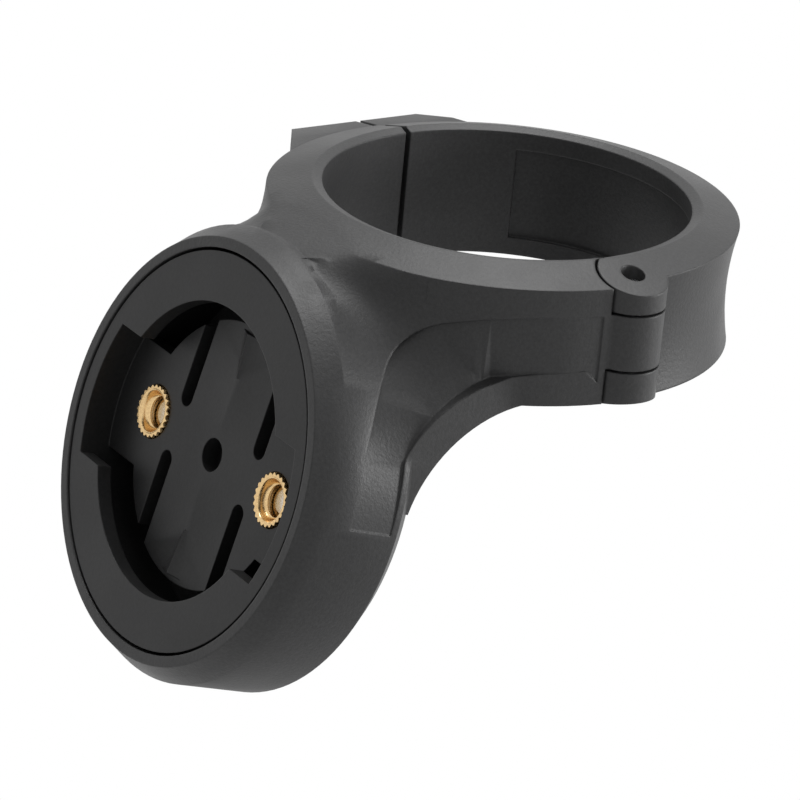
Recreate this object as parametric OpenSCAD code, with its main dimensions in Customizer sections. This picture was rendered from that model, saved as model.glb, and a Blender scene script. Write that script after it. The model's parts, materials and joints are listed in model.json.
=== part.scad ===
// Bike computer mount: a hinged tube clamp whose bent arm carries a quarter-turn socket.
// Z runs along the tube, the origin is the centre of the clamp bore at mid-height,
// -Y points forward to the socket, +X is the hinge side and -X is the bolt side.

/* [Tube clamp] */
// Diameter of the bore that grips the tube
bore_d = 32; // [28:0.2:35]
// Height of the straight wall of the bore
clamp_h = 11.6; // [10.5:0.1:13]
// Wall of the fixed half of the clamp ring
ring_wall = 4.8; // [4.4:0.1:5.5]
// Wall of the swinging gate at its upper and lower edges
gate_wall = 4.2; // [3.9:0.1:4.8]
// How far the outside of the gate is waisted in at mid-height
gate_waist = 0.55; // [0.2:0.05:0.8]
// Width of the bevel at the mouth of the bore
mouth_bevel = 0.9; // [0.5:0.1:1.2]
// Rise of that bevel above the straight wall
mouth_rise = 0.3; // [0.2:0.05:0.5]
// Fall of the upper face towards the outside, in degrees
top_slope = 17; // [12:1:20]
// Fall of the lower face towards the outside, in degrees
under_slope = 11; // [8:1:16]
// Gap between the two halves at the split
split_gap = 0.5; // [0.4:0.1:1]
// Depth of the shallow grip pocket in the gate's side of the bore
pad_depth = 0.4; // [0.2:0.05:0.6]
// Half-angle that the grip pocket covers, in degrees
pad_half_angle = 53; // [40:1:60]
// Height of the grip pocket
pad_h = 8.4; // [6:0.2:9]

/* [Hinge] */
// Diameter of the hinge pin
pin_d = 2; // [1.6:0.1:2.4]
// Length of the hinge pin
pin_len = 8.8; // [7.6:0.1:9.2]
// Running clearance between the pin and the gate's knuckles
pin_clearance = 0.04; // [0.02:0.01:0.08]
// Radius of the hinge knuckles
knuckle_r = 3; // [2.6:0.1:3.2]
// Distance from the bore's wall to the pin's axis
pin_offset = 3.1; // [2.9:0.1:3.5]
// Height above mid-height where the middle knuckle ends
knuckle_top = 2.6; // [2:0.1:3]
// Depth below mid-height where the middle knuckle ends
knuckle_bottom = 2.2; // [1.8:0.1:3]
// Clearance around and between the knuckles
hinge_gap = 0.25; // [0.2:0.05:0.35]

/* [Clamp bolt] */
// Distance from the bore's wall to the bolt's axis
bolt_offset = 4.3; // [4.1:0.1:4.8]
// Pitch diameter of the bolt's thread
bolt_d = 2.68; // [2.6:0.02:2.72]
// Length of the bolt under its head
bolt_len = 12; // [11.5:0.5:12.5]
// Diameter of the bolt's cylindrical head
bolt_head_d = 5.5; // [5.2:0.1:5.7]
// Height of the bolt's head
bolt_head_h = 3; // [2.6:0.1:3.2]
// Key size of the hexagon socket in the head
bolt_key = 2.5; // [2:0.5:3]
// Diameter of the clearance holes for the bolt
bolt_hole_d = 3.4; // [3.3:0.1:3.8]
// Free space around the bolt's head
head_clearance = 0.3; // [0.2:0.05:0.5]
// Distance between the flats of the nut
nut_flats = 5.5; // [5.3:0.1:5.6]
// Thickness of the nut
nut_h = 2.4; // [2.2:0.1:2.6]
// Diameter of the nut's bore
nut_bore_d = 3.1; // [3.06:0.02:3.2]
// Clearance between the nut and its pocket across the flats
nut_clearance = 0.2; // [0.1:0.05:0.3]
// Depth of plastic between the split plane and the nut
nut_seat = 3.2; // [3:0.1:3.4]
// Length of the fixed lug's side from the split plane to its corner
lug_len = 7; // [6.5:0.1:7.5]
// How far the bolt's head is sunk below that corner
head_sink = 1; // [0.5:0.1:1.4]
// Direction round the ring where the fixed lug's slanted front ends, in degrees from -X
lug_front_angle = 33; // [30:1:36]
// Direction round the gate where its lug's slanted back ends, in degrees from -X
gate_lug_angle = 27; // [24:1:30]
// Plastic outside the bolt's axis on both lugs
lug_wall = 4; // [3.9:0.1:4.6]
// Length of the flat outer face of the gate's lug
gate_lug_len = 6.2; // [5.8:0.1:6.6]
// Step down from the ring's upper edge to the lugs
lug_step = 0.15; // [0.1:0.05:0.3]
// Fall of the lugs' upper and lower faces towards the outside
lug_fall = 0.65; // [0.4:0.05:1]

/* [Arm] */
// Half-width of the arm's top where it leaves the ring
neck_half_w = 8.6; // [7.5:0.1:10]
// How much narrower the arm's top is where it meets the socket housing
neck_taper = 1.2; // [0.5:0.1:2]
// How much wider the arm is a blend's width below its top
neck_spread = 1.4; // [0.5:0.1:2]
// Distance outside the bore's bevel where the arm's top starts to roll over
neck_start = 1.1; // [0.8:0.1:1.5]
// Radius of the arm's top as it rolls over to the housing
neck_roll_r = 13; // [11:0.5:15]
// Width of the soft blend between the ring, the arm's sides and the housing
blend = 7; // [4:0.5:8]
// Width of that blend at the arm's upper edges
blend_top = 3; // [1:0.5:5]
// Radius that the arm's upper edges grow to at the housing
neck_edge_r = 4; // [2:0.5:5]
// Distance outside the ring's edge, along the arm, at which they have that radius
neck_edge_end = 1.2; // [0.5:0.1:2]
// Distance of the flange's edges inside the housing's outer radius
flange_inset = 1.6; // [1.2:0.1:2.4]
// Thickness of the flange along the inside of the bend
flange_t = 2.2; // [1.8:0.1:2.8]
// Radius of the inside of the bend
bend_r = 12; // [10:0.5:13]
// Radius of the flange's inner edge round the bend
flange_r = 8; // [7:0.5:9]
// Distance above the socket's centre line down to which the flange reaches
flange_low = 3; // [2:0.5:5]
// Drop of the arm's underside below the ring's lower outer edge
arm_drop = 0.2; // [0.1:0.05:0.4]
// Depth below the ring's upper edge where the side channel starts
channel_top = 2.4; // [2:0.1:2.8]
// Distance of the side channel from the socket's front face
channel_front = 4.3; // [3.8:0.1:5]
// Radius of the side channel's upper edge round the bend
channel_r = 17.5; // [16:0.5:18]
// Depth of the side channel at the bend
channel_depth = 0.7; // [0.4:0.1:1]

/* [Computer socket] */
// Distance forward from the bore's axis to the centre of the socket's face
socket_reach = 30.6; // [29.6:0.2:32]
// Distance down from mid-height to the centre of the socket's face
socket_drop = 13.7; // [13:0.1:14.6]
// Upward tilt of the socket's face, in degrees
socket_tilt = 16.5; // [14:0.5:18]
// Wall of the round housing around the insert
housing_wall = 2.23; // [1.9:0.01:2.6]
// Thickness of the housing from front to back
housing_t = 10.7; // [10.2:0.1:11.5]
// Width of the bevel around the front rim
rim_bevel_w = 1.3; // [1:0.1:1.6]
// Depth of the bevel around the front rim
rim_bevel = 2.1; // [1.5:0.1:2.5]
// Width of the bevel around the back of the housing
back_bevel = 1.6; // [1:0.1:2]
// Thickness of the housing's back wall
back_wall = 2.5; // [2.2:0.1:3]
// Wall of the socket insert around its undercut
insert_wall = 1.4; // [1.2:0.1:1.6]
// Gap between the insert and the housing
insert_gap = 0.27; // [0.2:0.01:0.35]
// How far the insert's face lies behind the front rim
insert_recess = 0.1; // [0.05:0.05:0.3]
// Radius of the round opening between the lips
lip_r = 12.8; // [12.6:0.05:13]
// Thickness of the lips
lip_t = 1.4; // [1.2:0.1:1.6]
// How far the lips stand in from the undercut behind them
lip_w = 2.9; // [2.7:0.1:3.1]
// Half-height of the two entry notches
notch_half_h = 6; // [5.6:0.1:6.4]
// Depth of the socket's floor behind the insert's face
floor_depth = 2.9; // [2.6:0.1:3.2]
// Thickness of the socket's floor
floor_t = 1.6; // [1.4:0.1:1.8]
// Distance of the floor's round edge from the opening between the lips
floor_gap = 1.2; // [0.9:0.1:1.5]
// Half-height of the floor's full-width band
floor_band = 5.2; // [5:0.1:5.5]
// Distance of the spring slots from the socket's centre
slot_offset = 6.1; // [5.8:0.1:6.3]
// Width of the spring slots
slot_w = 1.7; // [1.4:0.1:1.9]
// Distance from the centre line to the round end of each slot
slot_start = 2.1; // [1.8:0.1:2.6]
// Diameter of the hole in the middle of the floor
centre_hole_d = 2.9; // [2.5:0.1:3.2]
// Height of the detent wedges on the spring tongues
detent_h = 0.55; // [0.4:0.05:0.8]
// Length of the detent wedges
detent_len = 4.2; // [3.6:0.1:4.6]
// Width of the detent wedges at their high end
detent_w = 4.2; // [3.6:0.1:4.6]
// Width of the detent wedges at their low end
detent_tip_w = 1.6; // [1.2:0.1:2]
// Distance of the detent wedges from the tongues' ends
detent_edge = 0.6; // [0.4:0.1:0.8]

/* [Socket screws] */
// Distance of the two screws from the edge of the opening between the lips
screw_inset = 2.8; // [2.6:0.1:3]
// Diameter of the screws
screw_d = 2.9; // [2.8:0.02:2.94]
// Length of the screws under their heads
screw_len = 8; // [7.6:0.1:8.2]
// Diameter of the screw heads
screw_head_d = 5.6; // [5:0.1:6]
// Height of the screw heads
screw_head_h = 2.4; // [2:0.1:2.6]
// Key size of the hexagon socket in each screw
screw_key = 2; // [1.5:0.5:2.5]
// Diameter of the screw holes in the housing
screw_hole_d = 3.4; // [3.2:0.1:3.6]
// Diameter of the brass inserts over their teeth
brass_d = 4.8; // [4.5:0.1:5]
// Length of the brass inserts
brass_len = 4.8; // [4.2:0.1:5]
// Diameter of the brass inserts' bore
brass_bore_d = 3; // [2.98:0.01:3.1]
// How far the brass inserts stand above the floor
brass_proud = 0.25; // [0.1:0.05:0.4]
// Diameter at the root of the brass inserts' teeth and over their collar
brass_root_d = 4.2; // [4:0.1:4.4]
// Height of the smooth collar in front of the teeth
brass_collar_h = 0.3; // [0.2:0.05:0.5]
// Number of teeth on each brass insert
brass_teeth = 22; // [18:1:26]
// Radius of the posts that hold the brass inserts
post_r = 3.5; // [3.2:0.1:3.8]

/* [Hidden] */
$fn = 96;
// Overshoot of cutting shapes, and a length beyond the whole part
eps = 0.5;
far = 60;
// Overlap of shapes that grow out of one another
bite = 0.25;
// Least step that keeps two surfaces apart
sliver = 0.03;
nylon = [0.16, 0.165, 0.17];
nylon_insert = [0.1, 0.1, 0.105];
steel = [0.72, 0.73, 0.75];
brass = [0.85, 0.65, 0.3];

bore_r = bore_d / 2;
ring_r = bore_r + ring_wall;
gate_r = bore_r + gate_wall;
mouth_r = bore_r + mouth_bevel;
peak_z = clamp_h / 2 + mouth_rise;
pin_x = bore_r + pin_offset;
bolt_x = -(bore_r + bolt_offset);
lug_x = bolt_x - lug_wall;
undercut_r = lip_r + lip_w;
insert_r = undercut_r + insert_wall;
housing_r = insert_r + insert_gap + housing_wall;
rim_r = housing_r - rim_bevel_w;
flange_half_w = housing_r - flange_inset;
floor_r = lip_r - floor_gap;
screw_offset = lip_r - screw_inset;
turn = 90 - socket_tilt;

// Height of the ring's upper face, and depth of its lower one, at a radius
function top_z(r) = peak_z - (r - mouth_r) * tan(top_slope);
function under_z(r) = peak_z - (r - mouth_r) * tan(under_slope);

// Bottom of the arm's flat part, level with the ring's lower outer edge
arm_under = under_z(ring_r) + arm_drop;

// Y of the plane that lies a given depth behind the socket's face, at a height
function plane_y(depth, z) =
    -socket_reach + depth / cos(socket_tilt) + (z + socket_drop) * tan(socket_tilt);

// Distance up the socket's face at a place
function face_v(y, z) = (y + socket_reach) * sin(socket_tilt) + (z + socket_drop) * cos(socket_tilt);

// Moves a shape that is drawn about the socket's centre, front face at z = 0, to its place
module at_socket()
    translate([0, -socket_reach, -socket_drop])
        rotate([turn, 0, 0])
            children();

// Extrudes a side profile, drawn in Y and Z, symmetrically along X
module across(half_w)
    translate([-half_w, 0, 0])
        rotate([90, 0, 90])
            linear_extrude(2 * half_w)
                children();

// Side profile of everything below a level and behind a plane parallel to the socket's face,
// with the corner between them rounded
module behind_bend(level, depth, r) {
    corner = [plane_y(depth, level), level];
    reach = r * tan(turn / 2);
    down = [-sin(socket_tilt), -cos(socket_tilt)];
    centre = corner + [reach, -r];
    difference() {
        polygon([corner, corner + [far, 0], [corner[0] + far, -far], [plane_y(depth, -far), -far]]);
        difference() {
            polygon([corner, corner + [reach, 0], centre, corner + down * reach]);
            translate(centre)
                circle(r);
        }
    }
}

// Side profile of what lies behind the bend, a given depth inside the flange
module behind_flange(depth)
    behind_bend(depth - arm_under, housing_t - depth, bend_r + (flange_r - bend_r) * depth / flange_t);

// Half-space in front of or behind the split plane
module half_space(side)
    translate([-far, side > 0 ? split_gap / 2 : -far - split_gap / 2, -far])
        cube([2 * far, far, 2 * far]);

// Where the bevels at the bore's mouths reach the inside of the bore
bevel_in_r = bore_r - bite;
bevel_in_z = clamp_h / 2 - bite * mouth_rise / mouth_bevel;

// Space above the ring's lower face and its bevel
module above_under_face()
    rotate_extrude()
        polygon([
            [bevel_in_r, far / 2],
            [bevel_in_r, -bevel_in_z],
            [mouth_r, -peak_z],
            [far / 2, -under_z(far / 2)],
            [far / 2, far / 2]
        ]);

// Plain tube of the ring, taller than its faces
module ring_tube(outer)
    translate([0, 0, -clamp_h])
        cylinder(r = outer, h = 2 * clamp_h);

// Everything below the ring's upper face and its bevel, carried outwards at the same slope
module below_top_face()
    rotate_extrude()
        polygon([
            [0, -far / 2],
            [far / 2, -far / 2],
            [far / 2, top_z(far / 2)],
            [mouth_r, peak_z],
            [bevel_in_r, bevel_in_z],
            [0, bevel_in_z]
        ]);

// Hinge knuckle between two heights
module hinge_knuckle(z0, z1)
    translate([pin_x, 0, z0])
        cylinder(r = knuckle_r, h = z1 - z0);

module knuckle_cut(z0, z1)
    translate([pin_x, 0, z0])
        cylinder(r = knuckle_r + hinge_gap, h = z1 - z0);

// Lug plan outlines, from the split plane outwards
module fixed_lug_plan()
    polygon([
        [lug_x, -split_gap / 2],
        [lug_x, -lug_len],
        [-ring_r * cos(lug_front_angle), -ring_r * sin(lug_front_angle)],
        [-bore_r, -lug_len / 2],
        [-bore_r, -split_gap / 2]
    ]);

module gate_lug_plan()
    polygon([
        [lug_x, split_gap / 2],
        [lug_x, gate_lug_len],
        [-gate_r * cos(gate_lug_angle), gate_r * sin(gate_lug_angle)],
        [-bore_r, gate_lug_len / 2],
        [-bore_r, split_gap / 2]
    ]);

// Front view of the lugs: upper and lower faces fall towards the outside
module lug_front() {
    top = top_z(ring_r) - lug_step;
    under = under_z(ring_r) - lug_step;
    polygon([
        [-bore_r, top],
        [-ring_r, top],
        [lug_x, top - lug_fall],
        [lug_x, -under + lug_fall],
        [-ring_r, -under],
        [-bore_r, -under]
    ]);
}

module lug(side)
    intersection() {
        translate([0, 0, -clamp_h])
            linear_extrude(2 * clamp_h)
                children();
        translate([0, side > 0 ? far : 0, 0])
            rotate([90, 0, 0])
                linear_extrude(far)
                    lug_front();
    }

// Shallow pocket for grip in the gate's side of the bore
module grip_pocket() {
    edge = far * [cos(pad_half_angle), sin(pad_half_angle)];
    rotate([0, 0, 90])
        translate([0, 0, -pad_h / 2])
            linear_extrude(pad_h)
                intersection() {
                    circle(bore_r + pad_depth);
                    polygon([[0, 0], [edge[0], -edge[1]], [far, -edge[1]], [far, edge[1]], edge]);
                }
}

module bore_cut()
    translate([0, 0, -far / 2])
        cylinder(r = bore_r, h = far);

// Room for the tube below the bore's straight wall
module tube_relief()
    translate([0, 0, -far - clamp_h / 2])
        cylinder(r = mouth_r + bite, h = far);

// Part of the space that lies above a line across the socket's face
module above_face_line(v)
    at_socket()
        translate([-far, v, -far])
            cube(2 * far);

// Wall of the housing carried back into the flange
module barrel()
    difference() {
        at_socket()
            translate([0, 0, -1.5 * housing_t])
                cylinder(r = housing_r, h = 1.5 * housing_t - rim_bevel - eps);
        across(far / 2)
            behind_flange(flange_t / 2);
        translate([-far, -bore_r / 2, -far])
            cube([2 * far, far, 2 * far]);
    }

module housing_shell()
    at_socket()
        rotate_extrude()
            polygon([
                [0, 0],
                [rim_r, 0],
                [housing_r, -rim_bevel],
                [housing_r, back_bevel - housing_t],
                [housing_r - back_bevel, -housing_t],
                [0, -housing_t]
            ]);

// Y of the plane that hands the ring over to the arm, and how far along the arm a place is
hand_over_y = -(bore_r + bite);
neck_front_y = -(socket_reach - housing_t / 2);
function along_neck(y) = min(max((hand_over_y - y) / (hand_over_y - neck_front_y), 0), 1);

// Rises smoothly from 0 to 1
function fade(t) = let (s = min(max(t, 0), 1)) s * s * (3 - 2 * s);

// Larger or smaller of two lengths, with a soft change of a given width between them
function soft_max(a, b, width) =
    let (w = max(width, sliver), near = max(w - abs(a - b), 0) / w)
    max(a, b) + near * near * w / 4;
function soft_min(a, b, width) = -soft_max(-a, -b, width);
function chord(r, d) = sqrt(max(r * r - d * d, 0));

// How much of the blend is left at a place: it fades out at the bevel around the rim
function blend_left(y, z) = fade(4 * (y - plane_y(rim_bevel, z)) / blend);

// Side of the arm, measured from the middle, at a place along it and a depth below its top
function neck_side(y, depth) =
    neck_half_w - neck_taper * along_neck(y) + neck_spread * fade(depth / blend);

// Height of the housing's wall, and of the roll that the arm's top makes towards it
function barrel_z(x, y) =
    (chord(housing_r, x) - (y + socket_reach) * sin(socket_tilt)) / cos(socket_tilt) - socket_drop;
neck_roll_start = [-mouth_r - neck_start, top_z(mouth_r + neck_start)];
neck_roll_centre = neck_roll_start + neck_roll_r * [sin(top_slope), -cos(top_slope)];
function roll_z(y) =
    y > neck_roll_start[0] ? top_z(-y)
    : neck_roll_centre[1] + chord(neck_roll_r, y - neck_roll_centre[0]);

// Top of the arm: from just above the ring's face it rolls over and sweeps up to the housing
function arm_top(x, y) =
    soft_max(sliver + soft_min(top_z(norm([x, y])), roll_z(y), (neck_roll_start[0] - y) / 2),
        barrel_z(x, y) - bite / 3, blend_top * blend_left(y, barrel_z(x, y)));

// Radius of the arm's upper edges, which grows along the arm, and the height where they start
function edge_r(y) =
    neck_edge_r * min(max((hand_over_y - y) / (ring_wall + neck_edge_end), 0), 1);
function shoulder(y) = arm_top(max(neck_side(y, 0) - edge_r(y), bite), y);
function edge_inset(r, depth) = depth < r ? r - chord(r, r - depth) : 0;

// Outside of the arm's soft blend into the ring and the housing, both moved in by an inset
function arm_side(y, z, inset) =
    let (
        depth = max(shoulder(y) - z, 0),
        width = (blend_top + (blend - blend_top) * fade(depth / blend)) * blend_left(y, z),
        sunk = sliver + bite * fade((y - hand_over_y) / bite / 8)
    )
    soft_max(soft_max(chord(ring_r, y - inset) - sunk,
            chord(housing_r, face_v(y, z) + inset) - bite / 3, width),
        neck_side(y, depth) - inset, width)
    - edge_inset(edge_r(y), depth);

// Arm between the ring and the housing as one loft, whose sections turn from across the ring
// to the socket's face
module arm_loft(inset) {
    y0 = -3 / 4 * bore_r;
    z0 = -arm_under - flange_t;
    steps_y = 20;
    steps_z = 16;
    steps_x = 6;
    half = steps_z + steps_x;
    row = 2 * half + 1;
    function y_at(i, z) = y0 + (plane_y(rim_bevel + bite, z) - y0) * i / steps_y;
    function top_at(i) = shoulder(y_at(i, shoulder(y_at(i, peak_z))));
    function z_at(i, k) = top_at(i) - (top_at(i) - z0) * (1 - sin(90 * k / steps_z));
    function at(i, k) = i * row + k % row;
    function side_point(y, z) = [arm_side(y, z, inset), y, z];
    function top_point(x, y) = [x, y, arm_top(x, y)];
    function half_point(i, k) =
        let (top_y = y_at(i, top_at(i)), edge_x = arm_side(top_y, top_at(i), inset))
        k <= steps_z ? side_point(y_at(i, z_at(i, k)), z_at(i, k))
        : top_point(edge_x * (half - k) / steps_x, top_y);
    function mirrored(p) = [-p[0], p[1], p[2]];
    polyhedron(
        points = [for (i = [0 : steps_y], k = [0 : row - 1])
            k <= half ? half_point(i, k) : mirrored(half_point(i, row - 1 - k))],
        faces = concat(
            [for (k = [1 : row - 2]) [at(0, 0), at(0, k), at(0, k + 1)]],
            [for (k = [1 : row - 2]) [at(steps_y, 0), at(steps_y, k + 1), at(steps_y, k)]],
            [for (i = [0 : steps_y - 1], k = [0 : row - 1])
                [at(i, k), at(i + 1, k), at(i + 1, k + 1)]],
            [for (i = [0 : steps_y - 1], k = [0 : row - 1])
                [at(i, k), at(i + 1, k + 1), at(i, k + 1)]]
        )
    );
}

module neck(inset)
    difference() {
        arm_loft(inset);
        across(far / 2)
            behind_flange(flange_t / 3);
        tube_relief();
    }

// Flange along the inside of the bend
module bend_flange()
    intersection() {
        difference() {
            across(flange_half_w)
                difference() {
                    behind_flange(flange_t);
                    behind_flange(0);
                }
            tube_relief();
        }
        translate([-far / 2, -socket_reach, -far / 2])
            cube([far, socket_reach - bore_r / 2, far]);
        above_face_line(flange_low);
    }

// Space of the side channel between the flange and the channel's upper edge
module channel_space()
    intersection() {
        across(far / 2)
            difference() {
                behind_bend(top_z(ring_r) - channel_top, channel_front, channel_r);
                behind_flange(flange_t);
            }
        translate([-far / 2, -socket_reach, -far / 2])
            cube([far, socket_reach - knuckle_r - hinge_gap - bite, far]);
        above_face_line(flange_low / 2);
    }

// The side channel leaves the same walls, moved in by its depth, so that it fades at both ends
module channel_cut()
    difference() {
        channel_space();
        translate([0, channel_depth, 0])
            ring_tube(ring_r);
        translate(channel_depth * [0, -sin(socket_tilt), -cos(socket_tilt)])
            barrel();
        neck(channel_depth);
    }

// Fixed half of the ring, as far as the arm
module front_ring()
    intersection() {
        ring_tube(ring_r);
        above_under_face();
        translate([-far / 2, hand_over_y, -far / 2])
            cube([far, -hand_over_y - split_gap / 2, far]);
    }

// Height across the socket's face where the housing's wall has gone inside the flange's side
barrel_low = chord(housing_r, flange_half_w) + eps;

module bracket()
    color(nylon)
        difference() {
            union() {
                intersection() {
                    union() {
                        front_ring();
                        neck(0);
                    }
                    below_top_face();
                }
                intersection() {
                    barrel();
                    above_face_line(barrel_low);
                }
                housing_shell();
                bend_flange();
                lug(-1)
                    fixed_lug_plan();
                hinge_knuckle(-knuckle_bottom, knuckle_top);
            }
            channel_cut();
            bore_cut();
            knuckle_cut(knuckle_top, far);
            knuckle_cut(-far, -knuckle_bottom);
            translate([pin_x, 0, -far / 2])
                cylinder(d = pin_d, h = far);
            bolt_cuts(-1);
            at_socket() {
                translate([0, 0, back_wall - housing_t])
                    cylinder(r = insert_r + insert_gap, h = housing_t);
                for (side = [-1, 1])
                    translate([side * screw_offset, 0, -housing_t - eps])
                        cylinder(d = screw_hole_d, h = housing_t);
            }
        }

// Bolt hole through one lug, with the head's recess or the nut's pocket
module bolt_cuts(side)
    translate([bolt_x, 0, 0]) {
        rotate([90, 0, 0])
            translate([0, 0, -far / 2])
                cylinder(d = bolt_hole_d, h = far);
        if (side < 0)
            translate([0, head_sink - lug_len, 0])
                rotate([90, 0, 0])
                    cylinder(d = bolt_head_d + 2 * head_clearance, h = far / 4);
        else
            translate([0, nut_seat, 0])
                rotate([-90, 0, 0])
                    cylinder(d = (nut_flats + nut_clearance) / cos(30), h = far / 4, $fn = 6);
    }

module clamp_gate() {
    chord = top_z(gate_r) + under_z(gate_r);
    waist_r = (chord * chord / 4 + gate_waist * gate_waist) / (2 * gate_waist);
    mid_z = (top_z(gate_r) - under_z(gate_r)) / 2;
    color(nylon)
        difference() {
            union() {
                intersection() {
                    union() {
                        difference() {
                            intersection() {
                                ring_tube(gate_r);
                                half_space(1);
                            }
                            rotate_extrude()
                                translate([gate_r + waist_r - gate_waist, mid_z])
                                    circle(waist_r);
                        }
                        hinge_knuckle(knuckle_top + hinge_gap, far);
                        hinge_knuckle(-far, -knuckle_bottom - hinge_gap);
                    }
                    below_top_face();
                    above_under_face();
                }
                lug(1)
                    gate_lug_plan();
            }
            bore_cut();
            knuckle_cut(-knuckle_bottom - hinge_gap, knuckle_top + hinge_gap);
            translate([pin_x, 0, -far / 2])
                cylinder(d = pin_d + 2 * pin_clearance, h = far);
            grip_pocket();
            bolt_cuts(1);
        }
}

module hinge_pin()
    color(steel)
        translate([pin_x, 0, (knuckle_top - knuckle_bottom) / 2 - pin_len / 2])
            cylinder(d = pin_d, h = pin_len);

module clamp_bolt()
    color(steel)
        translate([bolt_x, head_sink - lug_len, 0])
            rotate([-90, 0, 0])
                difference() {
                    union() {
                        cylinder(d = bolt_d, h = bolt_len);
                        translate([0, 0, -bolt_head_h])
                            cylinder(d = bolt_head_d, h = bolt_head_h);
                    }
                    translate([0, 0, -bolt_head_h - eps])
                        cylinder(d = bolt_key / cos(30), h = bolt_head_h / 2 + eps, $fn = 6);
                }

module clamp_nut()
    color(steel)
        translate([bolt_x, nut_seat, 0])
            rotate([-90, 0, 0])
                difference() {
                    cylinder(d = nut_flats / cos(30), h = nut_h, $fn = 6);
                    translate([0, 0, -eps])
                        cylinder(d = nut_bore_d, h = nut_h + 2 * eps);
                }

// Wedge on a spring tongue that snaps into the computer's foot
module detent()
    translate([0, floor_r - detent_edge - detent_len, -floor_depth])
        polyhedron(
            points = [
                [-detent_tip_w / 2, 0, -bite],
                [detent_tip_w / 2, 0, -bite],
                [detent_w / 2, detent_len, -bite],
                [-detent_w / 2, detent_len, -bite],
                [0, bite, detent_h / 3],
                [0, detent_len, detent_h]
            ],
            faces = [[0, 1, 2, 3], [0, 4, 1], [1, 4, 5, 2], [2, 5, 3], [3, 5, 4, 0]]
        );

module socket_insert() {
    height = housing_t - back_wall - insert_recess;
    color(nylon_insert)
        at_socket()
            translate([0, 0, -insert_recess])
                difference() {
                    union() {
                        difference() {
                            translate([0, 0, -height])
                                cylinder(r = insert_r, h = height);
                            translate([0, 0, -height - eps])
                                cylinder(r = undercut_r, h = height + eps - lip_t);
                            translate([0, 0, -height])
                                cylinder(r = lip_r, h = height + eps);
                            translate([-undercut_r, -notch_half_h, -height])
                                intersection() {
                                    cube([2 * undercut_r, 2 * notch_half_h, height + eps]);
                                    translate([undercut_r, notch_half_h, 0])
                                        cylinder(r = undercut_r, h = height + eps);
                                }
                        }
                        socket_floor();
                        for (side = [-1, 1])
                            translate([side * screw_offset, 0, -height])
                                cylinder(r = post_r, h = height - floor_depth - floor_t / 2);
                    }
                    for (side = [-1, 1])
                        translate([side * screw_offset, 0, -height - eps])
                            cylinder(d = brass_d, h = height);
                }
}

// Floor of the socket: a full-width band, and two spring tongues between slots
module socket_floor()
    difference() {
        union() {
            translate([0, 0, -floor_depth - floor_t])
                linear_extrude(floor_t)
                    difference() {
                        union() {
                            circle(floor_r);
                            intersection() {
                                circle(undercut_r + bite);
                                square([2 * insert_r, 2 * floor_band], center = true);
                            }
                        }
                        circle(d = centre_hole_d);
                        for (side = [-1, 1], end = [-1, 1])
                            translate([side * slot_offset, end * (slot_start + slot_w / 2)]) {
                                circle(d = slot_w);
                                translate([-slot_w / 2, end > 0 ? 0 : -floor_r])
                                    square([slot_w, floor_r]);
                            }
                    }
            for (turned = [0, 180])
                rotate([0, 0, turned])
                    detent();
        }
    }

// Knurled brass insert, flush face to the front
module brass_insert(side) {
    front = brass_proud - floor_depth - insert_recess;
    tooth = 360 / brass_teeth;
    color(brass)
        at_socket()
            translate([side * screw_offset, 0, front - brass_len])
                difference() {
                    union() {
                        cylinder(d = brass_root_d, h = brass_len);
                        linear_extrude(brass_len - brass_collar_h)
                            polygon([for (i = [0 : brass_teeth - 1], k = [0, 1])
                                (k == 0 ? brass_d - bite / 4 : brass_root_d - bite) / 2
                                    * [cos((i + k / 2) * tooth), sin((i + k / 2) * tooth)]]);
                    }
                    translate([0, 0, -eps])
                        cylinder(d = brass_bore_d, h = brass_len + 2 * eps);
                }
}

module brass_insert_left() brass_insert(-1);

module brass_insert_right() brass_insert(1);

module insert_screw(side)
    color(steel)
        at_socket()
            translate([side * screw_offset, 0, -housing_t])
                difference() {
                    union() {
                        cylinder(d = screw_d, h = screw_len);
                        translate([0, 0, -screw_head_h])
                            cylinder(d = screw_head_d, h = screw_head_h);
                    }
                    translate([0, 0, -screw_head_h - eps])
                        cylinder(d = screw_key / cos(30), h = screw_head_h / 2 + eps, $fn = 6);
                }

module insert_screw_left() insert_screw(-1);

module insert_screw_right() insert_screw(1);

bracket();
clamp_gate();
hinge_pin();
clamp_bolt();
clamp_nut();
socket_insert();
brass_insert_left();
brass_insert_right();
insert_screw_left();
insert_screw_right();
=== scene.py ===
import json
import math

import bmesh
import bpy
from mathutils import Matrix, Vector

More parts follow.
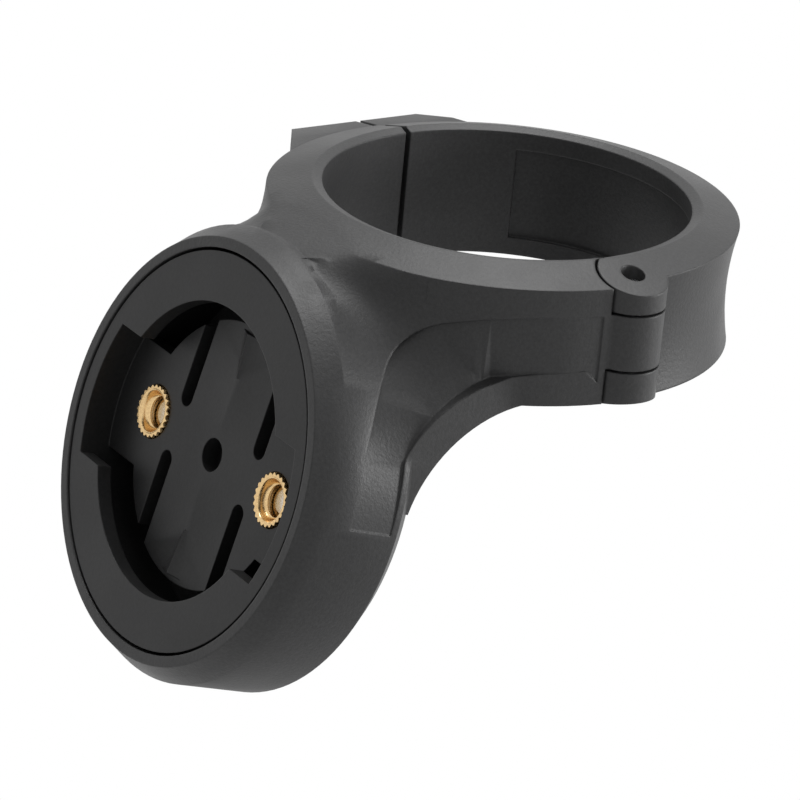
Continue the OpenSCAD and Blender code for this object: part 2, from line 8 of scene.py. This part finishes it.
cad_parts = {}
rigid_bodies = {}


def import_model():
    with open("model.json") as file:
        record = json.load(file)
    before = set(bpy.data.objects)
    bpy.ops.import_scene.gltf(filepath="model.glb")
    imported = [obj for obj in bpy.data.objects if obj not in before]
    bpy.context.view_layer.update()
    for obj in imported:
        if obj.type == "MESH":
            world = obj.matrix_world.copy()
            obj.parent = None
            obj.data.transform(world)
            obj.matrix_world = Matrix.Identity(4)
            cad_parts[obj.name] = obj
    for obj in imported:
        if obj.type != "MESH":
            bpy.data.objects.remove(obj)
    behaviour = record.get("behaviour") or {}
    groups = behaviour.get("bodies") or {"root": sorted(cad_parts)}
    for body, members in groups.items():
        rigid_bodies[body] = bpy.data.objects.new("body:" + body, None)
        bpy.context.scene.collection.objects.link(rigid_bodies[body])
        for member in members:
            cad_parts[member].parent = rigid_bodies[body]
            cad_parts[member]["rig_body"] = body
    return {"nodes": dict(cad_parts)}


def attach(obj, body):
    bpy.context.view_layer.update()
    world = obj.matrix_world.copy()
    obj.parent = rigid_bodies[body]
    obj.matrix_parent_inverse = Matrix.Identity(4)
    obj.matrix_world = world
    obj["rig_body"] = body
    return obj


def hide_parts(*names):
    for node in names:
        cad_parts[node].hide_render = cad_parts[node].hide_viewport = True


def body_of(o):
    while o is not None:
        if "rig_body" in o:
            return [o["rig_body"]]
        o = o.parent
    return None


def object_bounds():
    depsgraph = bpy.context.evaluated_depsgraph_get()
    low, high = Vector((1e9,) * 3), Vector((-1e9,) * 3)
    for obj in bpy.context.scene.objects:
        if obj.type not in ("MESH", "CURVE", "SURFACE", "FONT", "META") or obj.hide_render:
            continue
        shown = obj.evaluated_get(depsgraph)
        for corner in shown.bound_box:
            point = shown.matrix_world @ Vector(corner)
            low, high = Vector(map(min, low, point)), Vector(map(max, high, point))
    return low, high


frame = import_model()
cad_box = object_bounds()
nodes = frame["nodes"]

MM = 0.001

# Vertices nearer than this are one
MERGE_DISTANCE = 0.001 * MM

# Camera at the photograph's viewpoint, in metres, degrees and millimetres of lens
CAMERA_PLACE = Vector((0.29786, -0.21147, 0.13650))
CAMERA_AZIMUTH = 55.807
CAMERA_ELEVATION = 22.446
CAMERA_ROLL = 5.363
CAMERA_LENS = 202.5
CAMERA_SENSOR = 36.0

# Surroundings
FLOOR_GAP = 60 * MM
FLOOR_SIZE = 4.0
FLOOR_GREY = 0.8
SKY_LEVEL = 0.45
# Lamps as (name, place, size, power), all facing the origin
LAMPS = (
    ("top_lamp", (-0.14, 0.1, 0.5), 0.35, 2.7),
    ("side_lamp", (0.3, 0.45, 0.08), 0.25, 3.0),
)

# The socket: the centre of its face, its tilt, and depths behind its face in millimetres
SOCKET_FACE = Vector((0, -30.6, -13.7)) * MM
SOCKET_TILT = math.radians(16.5)
SOCKET_BACK = 10.7
SCREW_OFFSET = 10.0
SCREW_LENGTH = 6.6
SCREW_HEAD_H = 2.4
SCREW_HEAD_R = 2.8
SCREW_KEY = 2.0
BRASS_FACE = 2.75
BRASS_LENGTH = 4.8

# The bracket's side channel, in millimetres: the ring's radius, the channel's
# depth, its upper edge and the ledge along the flange as (height, distance behind the face,
# radius round the bend), and the flange's half-width
RING_R = 20.8
CHANNEL_DEPTH = 0.7
CHANNEL_EDGE = (2.508, 4.3, 17.5)
LEDGE = (-3.342, 8.5, 8.0)
FLANGE_HALF_W = 18.0
# Where the channel ends beside the knuckle, where it leaves the ring for the arm, and radii
# about the bore and about the socket's axis inside which nothing belongs to it
CHANNEL_END_Y = -4.4
ARM_START_Y = -10.9
BORE_CLEAR_R = 17.0
SOCKET_CLEAR_R = 18.5
# How near a point is to an edge or a surface that it lies on
EDGE_SLACK = 0.03
SKIN_SLACK = 0.01
# Where the channel starts to fade towards the hinge, and over what length
FADE_START_Y = -10.5
FADE_LENGTH = 6.0
# Along the ledge from the start of the bend: how far it rises above the flange
LEDGE_RISE = ((-9.0, 1.1), (-4.0, 0.8), (-1.0, 0.2), (0.0, 0.0), (2.0, -0.35),
              (4.0, -0.5), (6.4, -0.45), (8.5, -0.25), (10.3, 0.0))
LEDGE_END = LEDGE_RISE[-1][0]
# Where the channel's wall meets the ledge, measured from the middle
LEDGE_X = ((-2.5, 0.0), (-1.0, 16.7), (4.0, 17.2), (7.7, 17.6), (10.3, 17.95))

# Softening where the arm meets the housing: opposite corners in millimetres, with X on either
# side, the number of passes, and the angle from which an edge counts as sharp
SOFT_LOW = (0, -27.5, -4)
SOFT_HIGH = (15, -20.5, 8)
SOFT_PASSES = 12
SHARP_ANGLE = math.radians(30)

# The clamp bolt, its nut and the hinge pin, in millimetres
BOLT_X = -20.3
BOLT_SEAT_Y = -6.0
BOLT_LENGTH = 12.0
BOLT_HEAD_H = 3.0
BOLT_HEAD_R = 2.75
BOLT_KEY = 2.5
NUT_Y = 3.2
NUT_H = 2.4
NUT_FLATS = 5.5
NUT_BORE_R = 1.55
PIN_X = 19.1
PIN_LOW = -4.2
PIN_LENGTH = 8.8
PIN_R = 1.0

# M3 thread in millimetres
PITCH = 0.5
THREAD_STEPS = 8
THREAD_ROOT = 1.22
THREAD_CREST = 1.43


# Materials

def new_material(name):
    """A node material, its node tree and its shader."""
    material = bpy.data.materials.new(name)
    material.use_nodes = True
    tree = material.node_tree
    return material, tree, tree.nodes["Principled BSDF"]


def add(tree, kind, **values):
    """A shader node with its properties and its unlinked inputs set."""
    node = tree.nodes.new(kind)
    for key, value in values.items():
        if key in node.inputs:
            node.inputs[key].default_value = value
        else:
            setattr(node, key, value)
    return node


def object_place(tree):
    """Object coordinates in millimetres."""
    place = add(tree, "ShaderNodeTexCoord")
    mapping = add(tree, "ShaderNodeMapping")
    mapping.inputs["Scale"].default_value = (1 / MM,) * 3
    tree.links.new(place.outputs["Object"], mapping.inputs["Vector"])
    return mapping.outputs["Vector"]


def noise(tree, vector, scale, detail=2.0, roughness=0.5):
    node = add(tree, "ShaderNodeTexNoise", Scale=scale, Detail=detail, Roughness=roughness)
    tree.links.new(vector, node.inputs["Vector"])
    return node.outputs["Fac"]


def ramp(tree, value, low, high, out_low, out_high):
    """A value mapped from one range to another, held at the ends."""
    node = add(tree, "ShaderNodeMapRange")
    node.inputs["From Min"].default_value = low
    node.inputs["From Max"].default_value = high
    node.inputs["To Min"].default_value = out_low
    node.inputs["To Max"].default_value = out_high
    tree.links.new(value, node.inputs["Value"])
    return node.outputs["Result"]


def mix_colour(tree, factor, first, second):
    node = add(tree, "ShaderNodeMix", data_type="RGBA")
    node.inputs["A"].default_value = (*first, 1)
    node.inputs["B"].default_value = (*second, 1)
    tree.links.new(factor, node.inputs["Factor"])
    return node.outputs["Result"]


def bump(tree, height, distance, strength, normal):
    node = add(tree, "ShaderNodeBump", Distance=distance, Strength=strength)
    tree.links.new(height, node.inputs["Height"])
    tree.links.new(normal, node.inputs["Normal"])
    return node.outputs["Normal"]


def round_edges(tree, radius):
    """A normal that turns softly over sharp edges."""
    return add(tree, "ShaderNodeBevel", samples=6, Radius=radius).outputs["Normal"]


def nylon(name, grey, grain, roughness, specular, edge_radius):
    """Moulded nylon: spark-eroded grain, faint cloudiness and softly rounded edges."""
    material, tree, shader = new_material(name)
    place = object_place(tree)
    cloud = noise(tree, place, 0.12, 3.0)
    speck = noise(tree, place, 3.2, 3.0, 0.65)
    dark = tuple(c * 0.8 for c in grey)
    light = tuple(c * 1.25 for c in grey)
    tree.links.new(mix_colour(tree, ramp(tree, speck, 0.3, 0.7, 0.0, 1.0), dark, light),
                   shader.inputs["Base Color"])
    tree.links.new(ramp(tree, cloud, 0.3, 0.7, roughness - 0.05, roughness + 0.05),
                   shader.inputs["Roughness"])
    tree.links.new(bump(tree, speck, grain, 0.6, round_edges(tree, edge_radius)),
                   shader.inputs["Normal"])
    shader.inputs["Specular IOR Level"].default_value = specular
    return material


def metal(name, colour, worn, roughness, grain, scale):
    """Turned or rolled metal with fine streaks."""
    material, tree, shader = new_material(name)
    streak = noise(tree, object_place(tree), scale, 4.0, 0.6)
    tree.links.new(mix_colour(tree, ramp(tree, streak, 0.3, 0.7, 0.0, 1.0), worn, colour),
                   shader.inputs["Base Color"])
    tree.links.new(ramp(tree, streak, 0.3, 0.7, roughness - 0.06, roughness + 0.1),
                   shader.inputs["Roughness"])
    tree.links.new(bump(tree, streak, grain, 0.35, round_edges(tree, 0.05 * MM)),
                   shader.inputs["Normal"])
    shader.inputs["Metallic"].default_value = 1.0
    return material


BODY = nylon("body_nylon", (0.022, 0.022, 0.0224), 0.05 * MM, 0.46, 0.32, 0.25 * MM)
INSERT = nylon("insert_nylon", (0.013, 0.013, 0.0133), 0.015 * MM, 0.4, 0.25, 0.14 * MM)
BRASS = metal("turned_brass", (0.83, 0.6, 0.3), (0.6, 0.4, 0.2), 0.2, 0.01 * MM, 5.0)
STEEL = metal("bright_steel", (0.74, 0.75, 0.76), (0.56, 0.57, 0.58), 0.22, 0.008 * MM, 6.0)


# Pieces

def finish_piece(name, shape, material, node, smooth_angle=32.0):
    """A piece from a bmesh: smooth over curved faces, sharp at edges, in its node's place."""
    limit = math.radians(smooth_angle)
    for face in shape.faces:
        face.smooth = True
    for edge in shape.edges:
        edge.smooth = len(edge.link_faces) == 2 and edge.calc_face_angle(0) < limit
    mesh = bpy.data.meshes.new(name)
    shape.to_mesh(mesh)
    shape.free()
    mesh.materials.append(material)
    piece = bpy.data.objects.new(name, mesh)
    bpy.context.scene.collection.objects.link(piece)
    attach(piece, body_of(nodes[node])[0])
    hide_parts(node)


def dress(name, node, material, reshape=None):
    """A piece that copies a CAD node's shape, with its vertices shared and then reshaped."""
    shape = bmesh.new()
    shape.from_mesh(nodes[node].data)
    bmesh.ops.remove_doubles(shape, verts=shape.verts, dist=MERGE_DISTANCE)
    if reshape:
        reshape(shape)
    bmesh.ops.dissolve_degenerate(shape, dist=MERGE_DISTANCE / 2, edges=shape.edges)
    finish_piece(name, shape, material, node)


def clamp(value):
    return max(0.0, min(1.0, value))


def fade(t):
    t = clamp(t)
    return t * t * (3 - 2 * t)


def read_off(table, place):
    """A value read off a table of (place, value), straight between its rows."""
    if place <= table[0][0]:
        return table[0][1]
    for (a, low), (b, high) in zip(table, table[1:]):
        if place <= b:
            return low + (high - low) * (place - a) / (b - a)
    return table[-1][1]


def along_bend(y, z, profile):
    """Depth under a bent profile, distance along it, and its outward direction in Y and Z."""
    level, depth, radius = profile
    slope, turn = math.tan(SOCKET_TILT), math.pi / 2 - SOCKET_TILT
    face_y, face_z = SOCKET_FACE.y / MM, SOCKET_FACE.z / MM
    plane = face_y + depth / math.cos(SOCKET_TILT) + (level - face_z) * slope
    centre_y, centre_z = plane + radius * math.tan(turn / 2), level - radius
    if y >= centre_y:
        return level - z, centre_y - y, (0.0, 1.0)
    front = Vector((-math.cos(SOCKET_TILT), math.sin(SOCKET_TILT)))
    down = Vector((-math.sin(SOCKET_TILT), -math.cos(SOCKET_TILT)))
    place = Vector((y - centre_y, z - centre_z))
    if place.dot(down) >= 0:
        return radius - place.dot(front), radius * turn + place.dot(down), tuple(front)
    angle = math.atan2(-place.x, place.y)
    out = place.normalized() if place.length else front
    return radius - place.length, radius * angle, tuple(out)


def in_channel(place):
    """Whether a place in millimetres is on the channel's wall or one of its edges."""
    x, y, z = place
    face_v = (place - SOCKET_FACE / MM).dot(
        Vector((0, math.sin(SOCKET_TILT), math.cos(SOCKET_TILT))))
    radius = math.hypot(x, y)
    on_ring = (RING_R - CHANNEL_DEPTH - 5 * SKIN_SLACK < radius
               < RING_R + 2 * SKIN_SLACK)
    return (y < CHANNEL_END_Y and radius > BORE_CLEAR_R and (on_ring or y < ARM_START_Y)
            and math.hypot(x, face_v) > SOCKET_CLEAR_R
            and along_bend(y, z, CHANNEL_EDGE)[0] > -EDGE_SLACK
            and along_bend(y, z, LEDGE)[0] < EDGE_SLACK)


def shape_channel(shape):
    """The side channel fades at the hinge, and its wall sweeps out to a narrow ledge."""
    spots, ledge = [], []
    for vert in shape.verts:
        x, y, z = vert.co / MM
        if not in_channel(vert.co / MM):
            continue
        under_edge = along_bend(y, z, CHANNEL_EDGE)[0]
        under_ledge, along, out = along_bend(y, z, LEDGE)
        spots.append((vert, abs(x), under_edge, under_ledge, along, out))
        on_ledge = under_ledge > -EDGE_SLACK and along < LEDGE_END
        if on_ledge and abs(x) < FLANGE_HALF_W - 2 * SKIN_SLACK:
            ledge.append((along, abs(x)))
    ledge.sort()
    for vert, wide, under_edge, under_ledge, along, out in spots:
        x, y, z = vert.co / MM
        shift = Vector()
        if math.hypot(x, y) < RING_R - SKIN_SLACK:
            shift.y -= CHANNEL_DEPTH * fade((y - FADE_START_Y) / FADE_LENGTH)
        part = clamp(under_edge / max(under_edge - under_ledge, SKIN_SLACK))
        now = read_off(ledge, along)
        room = clamp((FLANGE_HALF_W - wide) / max(FLANGE_HALF_W - now, SKIN_SLACK))
        spread = max(0.0, read_off(LEDGE_X, along) - now) * room * part ** 2
        rise = read_off(LEDGE_RISE, along) * part ** 2
        shift += Vector((math.copysign(spread, x), rise * out[0], rise * out[1]))
        vert.co += shift * MM


def inside_box(shape, low, high):
    """Vertices on either side between two corners of a box, in millimetres."""
    return [v for v in shape.verts
            if all(low[i] <= (abs(v.co.x) if i == 0 else v.co[i]) / MM <= high[i]
                   for i in range(3))]


def soften(shape, verts, passes):
    """Smooths the skin at some vertices, away from sharp edges."""
    chosen = [v for v in verts
              if all(len(e.link_faces) == 2 and e.calc_face_angle(0) < SHARP_ANGLE
                     for e in v.link_edges)]
    for _ in range(passes):
        bmesh.ops.smooth_vert(shape, verts=chosen, factor=0.5,
                              use_axis_x=True, use_axis_y=True, use_axis_z=True)


def circle(radius):
    return lambda angle: radius


def hexagon(flats, limit=math.inf):
    """Radius of a hexagon with a corner on the local X axis, held under a limit."""
    return lambda angle: min(
        flats / 2 / math.cos(angle % (math.pi / 3) - math.pi / 6), limit)


def toothed(root, tip, count):
    return lambda angle: root + (tip - root) * (0.5 + 0.5 * math.cos(count * angle)) ** 0.8


def threaded(root, crest, z):
    """Radius of a right-hand thread at a height."""
    def radius(angle):
        part = (z / PITCH - angle / math.tau) % 1
        return root + (crest - root) * clamp(1.5 - 3 * abs(part - 0.5))
    return radius


def thread_rings(root, crest, first, last):
    """Rings of a thread that fades in and out over one turn at each end."""
    count = round(abs(last - first) / PITCH * THREAD_STEPS)
    rings = []
    for i in range(count + 1):
        z = first + (last - first) * i / count
        full = max(0.0, min(1.0, abs(z - first) / PITCH, abs(last - z) / PITCH))
        rings.append((threaded(root, root + (crest - root) * full, z), z))
    return rings


def turned(name, rings, turn, origin, material, node, segments=96):
    """A closed piece of rings round an axis. A radius of 0 is a point on the axis."""
    shape = bmesh.new()
    loops = []
    for radius, z in rings:
        radius_at = radius if callable(radius) else circle(radius)
        count = 1 if radius == 0 else segments
        angles = [math.tau * i / segments for i in range(count)]
        loops.append([shape.verts.new(Vector((
            radius_at(a) * math.cos(a), radius_at(a) * math.sin(a), z)) * MM) for a in angles])
    following = loops[1:] + loops[:1] if len(loops[0]) > 1 else loops[1:]
    for first, second in zip(loops, following):
        for i in range(segments):
            j = i + 1
            corners = [first[i % len(first)], first[j % len(first)],
                       second[j % len(second)], second[i % len(second)]]
            shape.faces.new(list(dict.fromkeys(corners)))
    bmesh.ops.transform(shape, matrix=Matrix.Translation(origin) @ turn.to_4x4(),
                        verts=shape.verts)
    bmesh.ops.recalc_face_normals(shape, faces=shape.faces)
    finish_piece(name, shape, material, node)


TO_SOCKET = Matrix.Rotation(math.pi / 2 - SOCKET_TILT, 3, "X")
TO_BOLT = Matrix.Rotation(-math.pi / 2, 3, "X")
UPRIGHT = Matrix.Identity(3)


def cap_screw_rings(length, head_h, head_r, key, knurls):
    """A cap screw along Z with its seat at z = 0, from the bottom of its socket to its tip."""
    top = -head_h
    depth = head_h / 2
    return [
        (0, top + depth + 0.2),
        (hexagon(key), top + depth),
        (hexagon(key), top + 0.12),
        (key / 2 + 0.28, top),
        (head_r - 0.3, top),
        (head_r - 0.08, top + 0.12),
        (head_r - 0.05, top + 0.3),
        (toothed(head_r - 0.07, head_r, knurls), top + 0.4),
        (toothed(head_r - 0.07, head_r, knurls), -0.3),
        (head_r - 0.05, -0.2),
        (head_r - 0.1, 0),
        (THREAD_ROOT + 0.1, 0),
        (THREAD_ROOT, 0.2),
        *thread_rings(THREAD_ROOT, THREAD_CREST, 0.4, length - 0.3),
        (THREAD_ROOT - 0.2, length),
        (0, length),
    ]


# Countersunk brass insert with a toothed rim, from its back round to its threaded bore
BRASS_RINGS = [
    (1.42, -BRASS_LENGTH),
    (2.1, -BRASS_LENGTH),
    (toothed(2.14, 2.36, 24), -BRASS_LENGTH + 0.15),
    (toothed(2.14, 2.36, 24), -0.08),
    (toothed(2.1, 2.3, 24), 0),
    (1.97, 0),
    (1.9, -0.05),
    (1.84, -0.05),
    (1.78, -0.12),
    (1.7, -0.4),
    (1.58, -0.66),
    (1.46, -0.8),
    (1.4, -0.82),
    (1.38, -0.95),
    *thread_rings(1.38, 1.46, -1.0, -BRASS_LENGTH + 0.2),
]

def shape_bracket(shape):
    shape_channel(shape)
    soften(shape, inside_box(shape, SOFT_LOW, SOFT_HIGH), SOFT_PASSES)


dress("bracket_skin", "bracket", BODY, shape_bracket)
dress("gate_skin", "clamp_gate", BODY)
dress("insert_skin", "socket_insert", INSERT)
for side, sign in (("left", -1), ("right", 1)):
    centre = SOCKET_FACE + TO_SOCKET @ Vector((sign * SCREW_OFFSET, 0, -BRASS_FACE)) * MM
    seat = SOCKET_FACE + TO_SOCKET @ Vector((sign * SCREW_OFFSET, 0, -SOCKET_BACK)) * MM
    turned("brass_" + side, BRASS_RINGS, TO_SOCKET, centre, BRASS,
           "brass_insert_" + side, 192)
    turned("screw_" + side,
           cap_screw_rings(SCREW_LENGTH, SCREW_HEAD_H, SCREW_HEAD_R, SCREW_KEY, 32),
           TO_SOCKET, seat, STEEL, "insert_screw_" + side, 192)
turned("bolt", cap_screw_rings(BOLT_LENGTH, BOLT_HEAD_H, BOLT_HEAD_R, BOLT_KEY, 48),
       TO_BOLT, Vector((BOLT_X, BOLT_SEAT_Y, 0)) * MM, STEEL, "clamp_bolt", 192)
turned("nut", [
    (NUT_BORE_R + 0.1, 0),
    (2.6, 0),
    (hexagon(NUT_FLATS, 2.75), 0.05),
    (hexagon(NUT_FLATS, 3.1), 0.32),
    (hexagon(NUT_FLATS, 3.1), NUT_H - 0.32),
    (hexagon(NUT_FLATS, 2.75), NUT_H - 0.05),
    (2.6, NUT_H),
    (NUT_BORE_R + 0.1, NUT_H),
    *thread_rings(NUT_BORE_R + 0.08, NUT_BORE_R, NUT_H - 0.15, 0.15),
], TO_BOLT, Vector((BOLT_X, NUT_Y, 0)) * MM, STEEL, "clamp_nut")
turned("pin", [
    (0, 0),
    (PIN_R - 0.2, 0),
    (PIN_R, 0.2),
    (PIN_R, PIN_LENGTH - 0.2),
    (PIN_R - 0.2, PIN_LENGTH),
    (0, PIN_LENGTH),
], UPRIGHT, Vector((PIN_X, 0, PIN_LOW)) * MM, STEEL, "hinge_pin", 64)


# Camera, floor and light

def set_camera():
    azimuth, elevation, roll = (
        math.radians(a) for a in (CAMERA_AZIMUTH, CAMERA_ELEVATION, CAMERA_ROLL)
    )
    right = Vector((math.cos(azimuth), math.sin(azimuth), 0))
    back = Vector((math.sin(azimuth) * math.cos(elevation),
                   -math.cos(azimuth) * math.cos(elevation),
                   math.sin(elevation)))
    up = back.cross(right)
    rolled_right = right * math.cos(roll) + up * math.sin(roll)
    rolled_up = up * math.cos(roll) - right * math.sin(roll)
    data = bpy.data.cameras.new("camera")
    data.sensor_width = CAMERA_SENSOR
    data.lens = CAMERA_LENS
    data.clip_start = 0.01
    camera = bpy.data.objects.new("camera", data)
    turn = Matrix((rolled_right, rolled_up, back)).transposed()
    camera.matrix_world = Matrix.Translation(CAMERA_PLACE) @ turn.to_4x4()
    bpy.context.scene.collection.objects.link(camera)
    bpy.context.scene.camera = camera


def seen_directly(tree):
    """1 for rays from the camera, in reflections and through clear things."""
    path = add(tree, "ShaderNodeLightPath")
    first = add(tree, "ShaderNodeMath", operation="MAXIMUM")
    second = add(tree, "ShaderNodeMath", operation="MAXIMUM")
    tree.links.new(path.outputs["Is Camera Ray"], first.inputs[0])
    tree.links.new(path.outputs["Is Glossy Ray"], first.inputs[1])
    tree.links.new(first.outputs[0], second.inputs[0])
    tree.links.new(path.outputs["Is Transmission Ray"], second.inputs[1])
    return second.outputs[0]


def set_world():
    world = bpy.data.worlds.new("studio")
    bpy.context.scene.world = world
    world.use_nodes = True
    tree = world.node_tree
    shine = tree.nodes["Background"]
    shine.inputs["Color"].default_value = (1, 1, 1, 1)
    tree.links.new(ramp(tree, seen_directly(tree), 0.0, 1.0, SKY_LEVEL, 1.0),
                   shine.inputs["Strength"])


def set_floor():
    mesh = bpy.data.meshes.new("floor")
    half = FLOOR_SIZE / 2
    mesh.from_pydata([(-half, -half, 0), (half, -half, 0), (half, half, 0), (-half, half, 0)],
                     [], [(0, 1, 2, 3)])
    floor = bpy.data.objects.new("floor", mesh)
    floor.location.z = cad_box[0][2] - FLOOR_GAP
    bpy.context.scene.collection.objects.link(floor)
    material, tree, shader = new_material("pale_floor")
    shader.inputs["Base Color"].default_value = (FLOOR_GREY,) * 3 + (1,)
    shader.inputs["Roughness"].default_value = 0.9
    glow = add(tree, "ShaderNodeEmission")
    blend = add(tree, "ShaderNodeMixShader")
    tree.links.new(seen_directly(tree), blend.inputs["Fac"])
    tree.links.new(shader.outputs[0], blend.inputs[1])
    tree.links.new(glow.outputs[0], blend.inputs[2])
    tree.links.new(blend.outputs[0], tree.nodes["Material Output"].inputs["Surface"])
    mesh.materials.append(material)


def add_lamp(name, place, size, power):
    """A round lamp that faces the origin."""
    data = bpy.data.lights.new(name, "AREA")
    data.shape = "DISK"
    data.size = size
    data.energy = power
    lamp = bpy.data.objects.new(name, data)
    lamp.location = place
    lamp.rotation_euler = (-Vector(place)).to_track_quat("-Z", "Y").to_euler()
    bpy.context.scene.collection.objects.link(lamp)


set_camera()
set_world()
set_floor()
for lamp in LAMPS:
    add_lamp(*lamp)

bpy.context.scene.view_settings.view_transform = "Standard"
